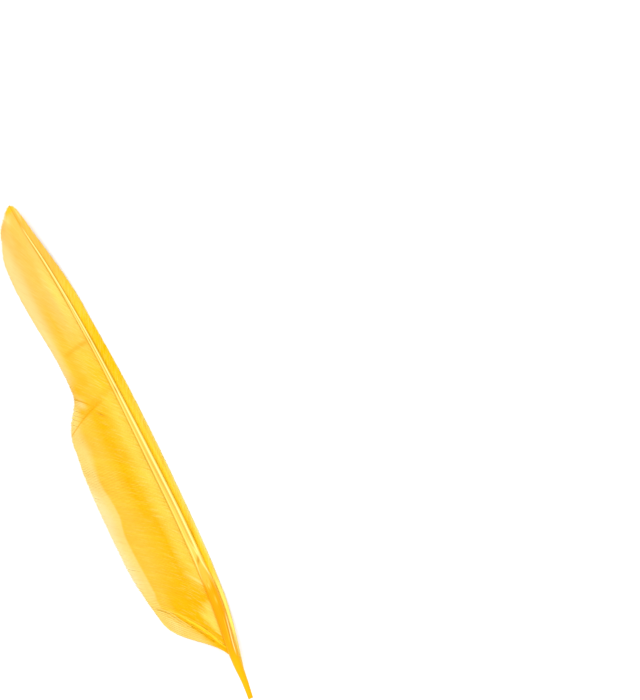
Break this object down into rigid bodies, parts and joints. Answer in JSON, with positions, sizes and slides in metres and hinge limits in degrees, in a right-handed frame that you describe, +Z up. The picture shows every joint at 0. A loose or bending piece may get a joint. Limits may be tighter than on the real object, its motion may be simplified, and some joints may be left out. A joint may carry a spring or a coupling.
{
  "type": "feather",
  "caption": "Dyed turkey wing feather: a tapering quill running into a grooved shaft, with a broad notched vane on one side and a narrow vane on the other.",
  "frame": {"origin": "centre of the feather's outline, on the ground it lies on", "axes": "+Y along the feather towards its tip, +X towards the narrow leading vane, +Z up out of the grooved underside"},
  "size_m": [0.0456, 0.3008, 0.0116],
  "materials": {
    "feather": "satin"
  },
  "bodies": {
    "root": {"feather": "feather"}
  },
  "joints": []
}
